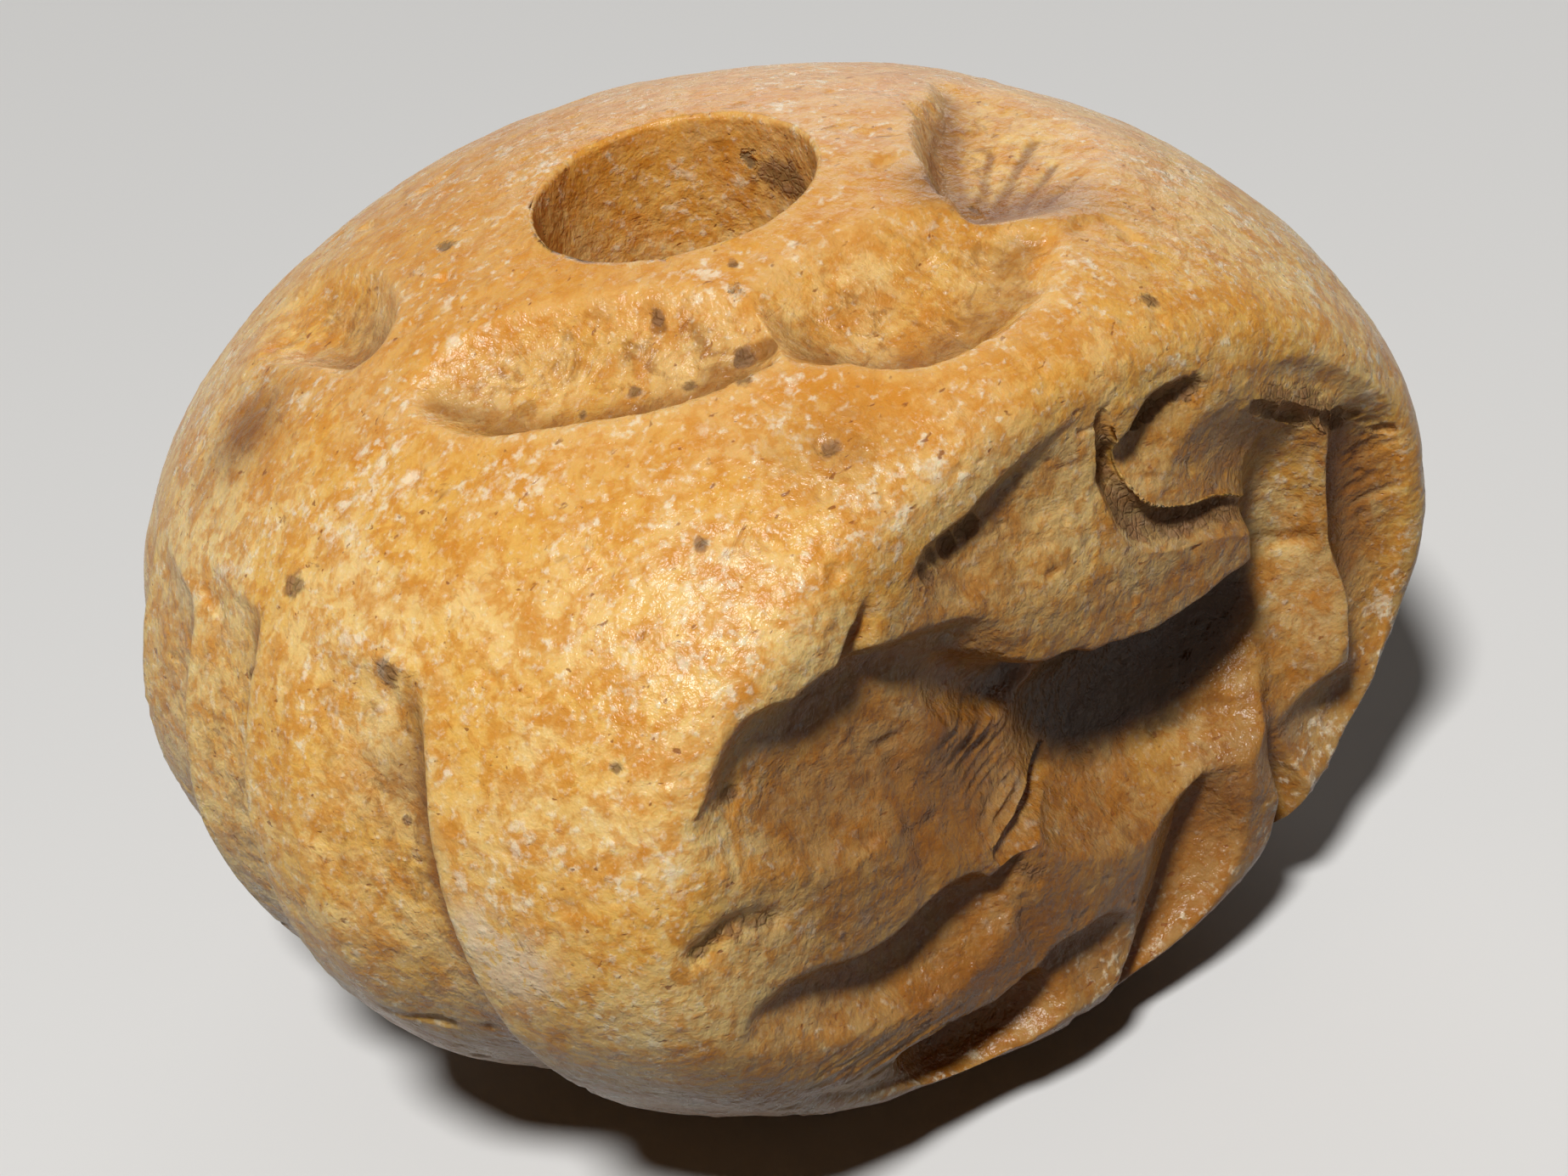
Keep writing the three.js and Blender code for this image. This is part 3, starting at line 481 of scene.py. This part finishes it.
def gridNormals(grid):
    # directions straight out of the surface, from each point's neighbours
    across = np.roll(grid, -1, 1) - np.roll(grid, 1, 1)
    down = np.roll(grid, -1, 0) - np.roll(grid, 1, 0)
    normal = np.cross(down, across)
    return normal / np.maximum(np.linalg.norm(normal, axis=-1, keepdims=True), 1e-9)


def crowded(size, rarity, seed, crowdSize, spread, crowdSeed):
    # small lumps that stand together in crowds
    lumps = np.clip(latticeNoise(grid, size, seed) - rarity, 0, 1)
    return lumps * np.clip(latticeNoise(grid, crowdSize, crowdSeed) + spread, 0, 1)


# Unevenness of the worn skin
surface = {
    # size of the lumps, their height, seed
    "lumps": [(3.1, 0.05, 1), (1.3, 0.04, 2), (0.6, 0.024, 3), (0.3, 0.01, 4), (0.15, 0.004, 9)],
    # size, how rare, seed, size of the crowds, how wide they spread, seed
    "crystals": (0.22, 0.35, 5, 2.4, 0.4, 6),
    "pits": (0.5, 0.6, 7, 3.5, 0.2, 8), "pinholes": (0.2, 0.55, 10, 2.1, 0.5, 11),
    "uneven": 0.75, "crystalHeight": 0.05, "pitDepth": 0.45, "pinholeShare": 0.3, "worn": 0.06,
}
outward = gridNormals(grid)
uneven = sum(height * latticeNoise(grid, size, seed) for size, height, seed in surface["lumps"])
pits = crowded(*surface["pits"]) + surface["pinholeShare"] * crowded(*surface["pinholes"])
raised = (surface["uneven"] * uneven + surface["crystalHeight"] * crowded(*surface["crystals"])
          - surface["pitDepth"] * pits - surface["worn"])
grid = grid + outward * raised[..., None]
lowest = np.full(grid.shape[:2], -stone["restLand"] + stone["restGap"])
grid[..., 2] = smoothMax(grid[..., 2], lowest, stone["restWear"])
print("rows", grid.shape[0], "columns", grid.shape[1])


def skinMesh(name, grid, extras):
    # closes the grid both ways into one ring-shaped skin
    rowCount, columnCount = grid.shape[:2]
    index = np.arange(rowCount * columnCount).reshape(rowCount, columnCount)
    right, below = np.roll(index, -1, 1), np.roll(index, -1, 0)
    quads = np.stack([index, below, np.roll(right, -1, 0), right], -1).reshape(-1, 4)
    mesh = bpy.data.meshes.new(name)
    mesh.vertices.add(rowCount * columnCount)
    mesh.vertices.foreach_set("co", ((grid + middle) * mm).reshape(-1).astype(np.float32))
    mesh.loops.add(quads.size)
    mesh.loops.foreach_set("vertex_index", quads.reshape(-1).astype(np.int32))
    mesh.polygons.add(len(quads))
    mesh.polygons.foreach_set("loop_start", np.arange(0, quads.size, 4, dtype=np.int32))
    mesh.update(calc_edges=True)
    mesh.shade_smooth()
    for label, values in extras.items():
        layer = mesh.attributes.new(label, "FLOAT", "POINT")
        layer.data.foreach_set("value", values.reshape(-1).astype(np.float32))
    made = bpy.data.objects.new(name, mesh)
    bpy.context.scene.collection.objects.link(made)
    return made


def padded(values, inBore=0):
    # values of the skin's rows, and one value for the bore's rows
    return np.concatenate([values, np.full(wall.shape[:2], inBore)])


# single dark stains on the round stone: azimuth and latitude in degrees, radius in mm
stains = [
    (-165.7, 32, 0.3), (-144.6, 71, 0.14), (-157, 61, 0.14), (-148, 64, 0.16), (-137, 64.5, 0.17),
    (-125.5, 66.3, 0.2), (-126, 62.6, 0.18), (-122, 75.4, 0.12), (-117, 54, 0.22), (-142.5, 26.4, 0.13),
    (179.4, 36, 0.26), (175, 23, 0.18), (-134, 47, 0.14), (-64, 50, 0.2), (-163, 16, 0.12), (-50, 69, 0.3),
]
# painted shade on the round stone, and chalky bruises, placed in the same way, and how strong
paintedShades = [
    (-43, 62, 0.9, 1.7), (-50, 70, 0.7, 1.5), (155, 43, 0.9, 1.5), (-164, 21, 0.5, 0.9),
    (-117, 54, 0.8, 0.5), (-136, -21, 1.4, 0.9), (-118, -28, 1.4, 1), (-157, -21, 1.1, 0.8),
]
bruises = [(-152.5, 2.5, 0.55, 1.2), (-155.5, 7, 0.4, 0.7)]
boreStain = {"azimuth": 3, "reach": 0.4, "height": 6.35, "heightReach": 0.5}  # degrees, radians, mm, mm
dirt = np.where(front, np.maximum(dirt, patches(x, z, grime)), 0) * onFace
unit = skin / halfAxes
unit /= np.linalg.norm(unit, axis=-1, keepdims=True)


def spot(spotAzimuth, spotLatitude, radius):
    # 1 at one place of the round stone, fading out over the radius
    a, b = math.radians(spotAzimuth), math.radians(spotLatitude)
    to = np.array([math.cos(b) * math.cos(a), math.cos(b) * math.sin(a), math.sin(b)])
    return np.exp(-np.sum(((unit - to) * halfAxes) ** 2, -1) / radius ** 2)


bruise = sum(strength * spot(*place) for *place, strength in bruises)
for stain in stains:
    dirt = np.maximum(dirt, spot(*stain))
# the painted shade spots join the dirt and painted shade mask
for *shade, strength in paintedShades:
    engraved = np.maximum(engraved, strength * spot(*shade))
# painted shade along each flute's crease
engraved = np.maximum(engraved, patina["creaseShade"] * crease)
stainAcross = (azimuth[None, :] - math.radians(boreStain["azimuth"])) / boreStain["reach"]
stainUp = (wall[..., 2] - boreStain["height"]) / boreStain["heightReach"]
boreDirt = np.exp(-stainAcross ** 2) * np.exp(-stainUp ** 2)
sealStone = skinMesh("sealStone", grid, {
    "engraved": padded(engraved), "deepShadow": padded(deepShadow), "tooledAndShaded": padded(tooledAndShaded, patina["boreTooledAndShaded"]),
    "hollow": padded(hollow), "bruise": padded(bruise), "crust": np.concatenate([dirt, boreDirt]),
})
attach(sealStone, "root")
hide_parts("seal_stone")


class Wire:
    # an output of a node that can be added, multiplied and so on as if it were a number
    def __init__(self, tree, socket):
        self.tree, self.socket = tree, socket

    def math(self, operation, *values):
        node = self.tree.nodes.new("ShaderNodeMath")
        node.operation = operation
        for slot, value in zip(node.inputs, values):
            plug(value, slot)
        return Wire(self.tree, node.outputs[0])

    def __add__(self, other):
        return self.math("ADD", self, other)

    def __radd__(self, other):
        return self.math("ADD", other, self)

    def __sub__(self, other):
        return self.math("SUBTRACT", self, other)

    def __rsub__(self, other):
        return self.math("SUBTRACT", other, self)

    def __mul__(self, other):
        return self.math("MULTIPLY", self, other)

    def __rmul__(self, other):
        return self.math("MULTIPLY", other, self)

    def __abs__(self):
        return self.math("ABSOLUTE", self)

    def atLeast(self, other):
        return self.math("MAXIMUM", self, other)

    def atMost(self, other):
        return self.math("MINIMUM", self, other)


def plug(value, slot):
    # a wire is linked, and anything else is set as the slot's own value
    if isinstance(value, Wire):
        slot.id_data.links.new(value.socket, slot)
    else:
        slot.default_value = value


class Nodes:
    def __init__(self, tree):
        self.tree = tree

    def node(self, kind, settings=None, output=0, **values):
        # i6 and the like stand for the input with that number, where names repeat
        node = self.tree.nodes.new("ShaderNode" + kind)
        for name, value in (settings or {}).items():
            setattr(node, name, value)
        for name, value in values.items():
            slot = int(name[1:]) if name[1:].isdigit() else name.replace("_", " ")
            plug(value, node.inputs[slot])
        return Wire(self.tree, node.outputs[output])

    def band(self, value, low, high):
        # 0 below low, 1 above high, smooth between
        settings = {"interpolation_type": "SMOOTHSTEP"}
        return self.node("MapRange", settings, Value=value, From_Min=low, From_Max=high)

    def blend(self, amount, first, second):
        # first where amount is 0, second where it is 1
        first, second = (colour if isinstance(colour, Wire) else (*colour, 1) for colour in (first, second))
        return self.node("Mix", {"data_type": "RGBA"}, output=2, i0=amount, i6=first, i7=second)

    def looked(self):
        # 1 for what is seen, directly, mirrored or through something clear, and 0 for light thrown on
        direct, mirrored, through = (self.node("LightPath", output=f"Is {kind} Ray")
                                     for kind in ("Camera", "Glossy", "Transmission"))
        return direct.atLeast(mirrored).atLeast(through)


class Material(Nodes):
    def __init__(self, name):
        self.made = bpy.data.materials.new(name)
        self.made.use_nodes = True
        super().__init__(self.made.node_tree)
        self.shader = self.tree.nodes["Principled BSDF"]

    def painted(self, name):
        # a value that the mesh carries at its points
        return self.node("Attribute", {"attribute_name": name}, output="Fac")

    def feed(self, name, value):
        plug(value, self.shader.inputs[name])


# Yellow ochre marble
marble = {
    # the body, what lies in it, what wear does to it, dirt, and painted shade and shadow
    "pale": (0.93, 0.65, 0.26), "honey": (0.83, 0.465, 0.1), "amber": (0.66, 0.25, 0.022),
    "speck": (0.95, 0.83, 0.6), "rust": (0.25, 0.065, 0.012), "pit": (0.15, 0.105, 0.06),
    "tooledAndShaded": (0.45, 0.21, 0.055), "bruise": (0.86, 0.67, 0.44), "shade": (0.23, 0.075, 0.01),
    "deepShadow": (0.05, 0.02, 0.007), "crust": (0.12, 0.058, 0.024), "ash": (0.26, 0.14, 0.07),
    # how strongly they show
    "specks": 0.68, "stains": 0.6, "rusty": 0.7, "pitted": 0.75, "engraved": 0.6, "deepShadowed": 0.88,
    "crusty": 0.75, "ends": 0.6, "endsSpared": 0.45, "foot": 0.7, "dullShadedFloors": 0.12, "crests": 0.15,
    # deeper colour from the middle of the height to the ends, and painted shade towards the bottom, in
    # millimetres
    "endsFrom": 4.4, "endsTo": 7, "footFrom": 2.2, "footTo": 8, "ragged": 2,
    # how it shines
    "roughness": 0.3, "smoothest": 0.2, "roughest": 0.85, "bump": 0.9, "bumpHeight": 0.07,
    "ior": 1.5, "specular": 0.22, "subsurface": 0.2, "radius": (1.0, 0.45, 0.2), "scatter": 0.7,
}
# Patterns in it: size of the lumps in mm, detail, roughness, distortion, shift, stretch
patterns = {
    "clouds": (2.8, 4, 0.6, 0.8, 0), "streaks": (1.3, 5, 0.65, 1.2, 9, (2, 1.2, 0.8)),
    "mottle": (0.75, 4, 0.65, 0.6, 4), "patchy": (0.5, 3, 0.6, 0.6, 29),
    "fine": (0.26, 3, 0.6, 0.3, 12), "grain": (0.12, 2, 0.6, 0, 2),
    "crowd": (1.9, 3, 0.6, 0, 15), "flecks": (0.17, 3, 0.55, 0, 17), "clots": (0.42, 5, 0.6, 0.2, 21),
    "worn": (0.8, 4, 0.65, 0.5, 51), "stained": (0.55, 4, 0.7, 0.6, 57),
    "rust": (0.6, 4, 0.75, 0.8, 33, (1.5, 1, 0.8)), "dashes": (0.17, 2, 0.6, 0.3, 41, (1.8, 1.2, 0.8)),
}
# Where each begins to show and is full
bands = {
    "clouds": (0.36, 0.64), "crowd": (0.36, 0.66), "flecks": (0.6, 0.8), "clots": (0.63, 0.8),
    "worn": (0.48, 0.68), "stained": (0.49, 0.67), "bruise": (0.42, 0.5),
    "rust": (0.6, 0.78), "dashes": (0.67, 0.75), "pit": (0.06, 0.13), "chance": (0.88, 0.89),
    "corner": (0.01, 0.12), "crest": (0.02, 0.1), "deepShadow": (0.05, 0.8),
    "cracks": (0, 0.16), "crust": (0.35, 0.75), "ash": (0.4, 0.62),
}
# Layers of its body from the first to the last: pattern, where it begins and is full, amount, colour
bodyLayers = [
    ("mottle", 0.5, 0.68, 0.6, "pale"), ("streaks", 0.48, 0.66, 0.75, "amber"),
    ("patchy", 0.47, 0.6, 0.6, "amber"), ("fine", 0.5, 0.66, 0.6, "amber"),
    ("gaps", 0.54, 0.66, 0.4, "pale"), ("grain", 0.55, 0.75, 0.35, "speck"),
]


def marbleMaterial():
    m = Material("ochreMarble")
    place = m.node("TexCoord", output="Object")

    def moved(size, stretch, shift):
        # object coordinates in lumps of the given size, in millimetres
        scale = [1 / (size * mm * s) for s in stretch]
        return m.node("Mapping", Vector=place, Scale=scale, Location=shift)

    def noise(size, detail, roughness, distortion, shift, stretch=(1, 1, 1)):
        at = moved(size, stretch, (shift, shift * 1.7, shift * 0.6))
        return m.node("TexNoise", Vector=at, Scale=1, Detail=detail, Roughness=roughness,
                      Distortion=distortion)

    def cells(size, shift, feature="F1", output="Distance"):
        at = moved(size, (1, 1, 1), (shift, shift * 1.3, shift * 0.7))
        return m.node("TexVoronoi", {"feature": feature}, output, Vector=at, Scale=1)

    pattern = {name: noise(*numbers) for name, numbers in patterns.items()}
    clouds, mottle, fine, grain = (pattern[name] for name in ("clouds", "mottle", "fine", "grain"))
    pattern["gaps"] = 1 - fine
    engraved, tooledAndShaded = m.painted("engraved"), m.painted("tooledAndShaded")

    # the body: honey and pale clouds with amber streaks, down to the grain
    colour = m.blend(m.band(clouds, *bands["clouds"]), marble["honey"], marble["pale"])
    for name, low, high, amount, tint in bodyLayers:
        colour = m.blend(m.band(pattern[name], low, high) * amount, colour, marble[tint])

    # the ends are deeper in colour than the sides, painted shade darkens the stone towards the bottom, and
    # the ground floors are duller with painted shade in them
    height = m.node("SeparateXYZ", output="Z", Vector=place)
    upOrDown = abs(height - middle[2] * mm) + (clouds - 0.5) * (marble["ragged"] * mm)
    ends = m.band(upOrDown, marble["endsFrom"] * mm, marble["endsTo"] * mm)
    colour = m.blend(ends * (marble["ends"] - tooledAndShaded * marble["endsSpared"]), colour, marble["amber"])
    raggedHeight = height + (mottle - 0.5) * (marble["ragged"] * mm)
    foot = 1 - m.band(raggedHeight, marble["footFrom"] * mm, marble["footTo"] * mm)
    colour = m.blend(foot * marble["foot"], colour, marble["shade"])
    colour = m.blend(tooledAndShaded * marble["dullShadedFloors"], colour, marble["tooledAndShaded"])

    # cream flecks: fine ones in crowds, and larger clots
    crowd = m.band(pattern["crowd"], *bands["crowd"]) * (1 - tooledAndShaded * 0.9) * (1 - engraved * 0.5)
    flecks = m.band(pattern["flecks"] + crowd * 0.12, *bands["flecks"])
    clots = m.band(pattern["clots"] + crowd * 0.12, *bands["clots"])
    specks = (flecks * 0.9 + clots * 0.9).atMost(1)
    colour = m.blend(specks * marble["specks"], colour, marble["speck"])

    # worked floors are blotched: worn pale patches, brown stains, and a chalky bruise
    worked = (tooledAndShaded + engraved).atMost(1)
    worn = m.band(pattern["worn"], *bands["worn"]) * (tooledAndShaded * 0.5 + engraved * 0.15).atMost(0.5)
    colour = m.blend(worn, colour, marble["pale"])
    stained = worked * m.band(pattern["stained"], *bands["stained"])
    colour = m.blend(stained * marble["stains"], colour, marble["shade"])
    bruise = m.painted("bruise") * m.band(fine * 0.7 + mottle * 0.3, *bands["bruise"])
    colour = m.blend((bruise * 1.2).atMost(0.75), colour, marble["bruise"])

    # iron: rusty veins, short dashes, and pits here and there
    rust = m.band(pattern["rust"], *bands["rust"])
    colour = m.blend(rust * marble["rusty"], colour, marble["rust"])
    dashes = m.band(pattern["dashes"], *bands["dashes"])
    colour = m.blend(dashes * marble["pitted"], colour, marble["rust"])
    chance = m.node("SeparateColor", output="Red", Color=cells(1.7, 5, output="Color"))
    gone = m.band(cells(1.7, 5) + (fine - 0.5) * 0.3, *bands["pit"])
    pit = (1 - gone) * m.band(chance, *bands["chance"])
    colour = m.blend(pit * marble["pitted"], colour, marble["pit"])

    # painted shade in the corners and, with dirt, all over the cut face; paler on the crests; painted
    # shadow in the deepest cuts
    hollow = m.painted("hollow") + (fine - 0.5) * 0.03
    corner = m.band(hollow, *bands["corner"]) * (0.35 + mottle * 0.7).atMost(1)
    colour = m.blend(corner, colour, marble["shade"])
    colour = m.blend(m.band(0 - hollow, *bands["crest"]) * marble["crests"], colour, marble["pale"])
    colour = m.blend((engraved * marble["engraved"]).atMost(0.85), colour, marble["shade"])
    deepShadow = m.band(m.painted("deepShadow") + (mottle - 0.5) * 0.8, *bands["deepShadow"])
    colour = m.blend(deepShadow * marble["deepShadowed"], colour, marble["deepShadow"])

    # cracked crust in the fine marks and on the stains
    cracks = m.band(cells(0.17, 7, "DISTANCE_TO_EDGE") + (grain - 0.5) * 0.25, *bands["cracks"])
    crust = m.band(m.painted("crust") + (fine - 0.5) * 1.1 + (mottle - 0.5) * 0.6, *bands["crust"])
    ashy = m.band(fine + (cracks - 0.5) * 0.1, *bands["ash"])
    crustColour = m.blend(ashy, marble["crust"], marble["ash"])
    colour = m.blend(crust * marble["crusty"], colour, crustColour)

    rough = marble["roughness"] + (mottle - 0.5) * 0.3 - specks * 0.12 + crust * 0.35 + pit * 0.2
    relief = (grain * 0.3 + fine * 0.6 + mottle * 0.6 + specks * 0.12 - pit * 0.8 - rust * 0.2
              - dashes * 0.1 + crust * (cracks * 0.25 - 0.1) + worked * (mottle * 0.7 + fine * 0.4))
    bump = m.node("Bump", Strength=marble["bump"], Distance=marble["bumpHeight"] * mm, Height=relief)
    m.feed("Base Color", colour)
    m.feed("Roughness", rough.atLeast(marble["smoothest"]).atMost(marble["roughest"]))
    m.feed("Normal", bump)
    m.feed("Subsurface Weight", marble["subsurface"])
    m.feed("Subsurface Radius", marble["radius"])
    m.feed("Subsurface Scale", marble["scatter"] * mm)
    m.feed("IOR", marble["ior"])
    m.feed("Specular IOR Level", marble["specular"])
    return m.made


print("marble")
sealStone.data.materials.append(marbleMaterial())

print("floor, camera and lamps")
# Stage: a pale floor that throws little light back up at the stone, and as pale far from the lamps
stage = {
    "floor": (0.78, 0.77, 0.75), "dull": (0.1, 0.095, 0.09),  # as seen, and as it lights the stone
    "far": (0.55, 0.54, 0.52), "farTo": 0.34,  # the backdrop, which the floor nears over these metres
    "reach": 3, "roughness": 0.9,  # metres from the middle to its edge
}


def floorMaterial():
    m = Material("paleFloor")
    looked = m.looked()
    place = m.node("TexCoord", output="Object")
    away = m.band(m.node("VectorMath", {"operation": "LENGTH"}, "Value", Vector=place), 0, stage["farTo"])
    m.feed("Base Color", m.blend(looked, stage["dull"], stage["floor"]))
    m.feed("Emission Color", m.blend(looked * away, (0, 0, 0), stage["far"]))
    m.feed("Emission Strength", 1)
    m.feed("Specular IOR Level", 0)
    m.feed("Roughness", stage["roughness"])
    return m.made


reach = stage["reach"]
floorMesh = bpy.data.meshes.new("floor")
floorMesh.from_pydata([(-reach, -reach, 0), (reach, -reach, 0), (reach, reach, 0), (-reach, reach, 0)],
                      [], [(0, 1, 2, 3)])
floor = bpy.data.objects.new("floor", floorMesh)
bpy.context.scene.collection.objects.link(floor)
floorMesh.materials.append(floorMaterial())

# Camera, set where the photograph was taken from
view = {
    "place": (-26.177, -38.489, 30.872),  # millimetres from the middle of the stone
    "right": (0.750, -0.642, -0.162), "up": (0.471, 0.345, 0.812), "back": (-0.465, -0.685, 0.561),
    "lens": 74.36, "sensor": 36, "nearest": 1, "farthest": 10000,  # all in millimetres
}
cameraData = bpy.data.cameras.new("camera")
cameraData.lens, cameraData.sensor_width = view["lens"], view["sensor"]
cameraData.clip_start, cameraData.clip_end = view["nearest"] * mm, view["farthest"] * mm
camera = bpy.data.objects.new("camera", cameraData)
bpy.context.scene.collection.objects.link(camera)
turn = Matrix([view["right"], view["up"], view["back"]]).transposed().to_4x4()
camera.matrix_world = Matrix.Translation(Vector((np.array(view["place"]) + middle) * mm)) @ turn
bpy.context.scene.camera = camera

# Light: one lamp over the left shoulder, a weak wide one from behind and a low even sky. The two
# ways point from the stone to the lamps, sizes and the distance are metres
light = {
    "way": (-0.36, -0.34, 0.87), "distance": 0.25, "size": 0.04, "energy": 0.62,
    "backWay": (0.7, 0.65, 0.3), "backSize": 0.2, "backEnergy": 0.12, "sky": 0.007,
}


def softLamp(name, way, size, energy):
    # a round lamp that shines on the stone from the given direction
    way = Vector(way).normalized()
    data = bpy.data.lights.new(name, "AREA")
    data.shape, data.size, data.energy = "DISK", size, energy
    lamp = bpy.data.objects.new(name, data)
    lamp.location = Vector(middle * mm) + way * light["distance"]
    lamp.rotation_mode = "QUATERNION"
    lamp.rotation_quaternion = way.to_track_quat("Z", "Y")
    bpy.context.scene.collection.objects.link(lamp)


softLamp("key", light["way"], light["size"], light["energy"])
softLamp("backLight", light["backWay"], light["backSize"], light["backEnergy"])
world = bpy.data.worlds.new("world")
bpy.context.scene.world = world
world.use_nodes = True
sky = world.node_tree.nodes["Background"]
sky.inputs["Color"].default_value = (*stage["far"], 1)
looked = Nodes(world.node_tree).looked()
plug(looked * (1 - light["sky"]) + light["sky"], sky.inputs["Strength"])
bpy.context.scene.view_settings.view_transform = "Standard"
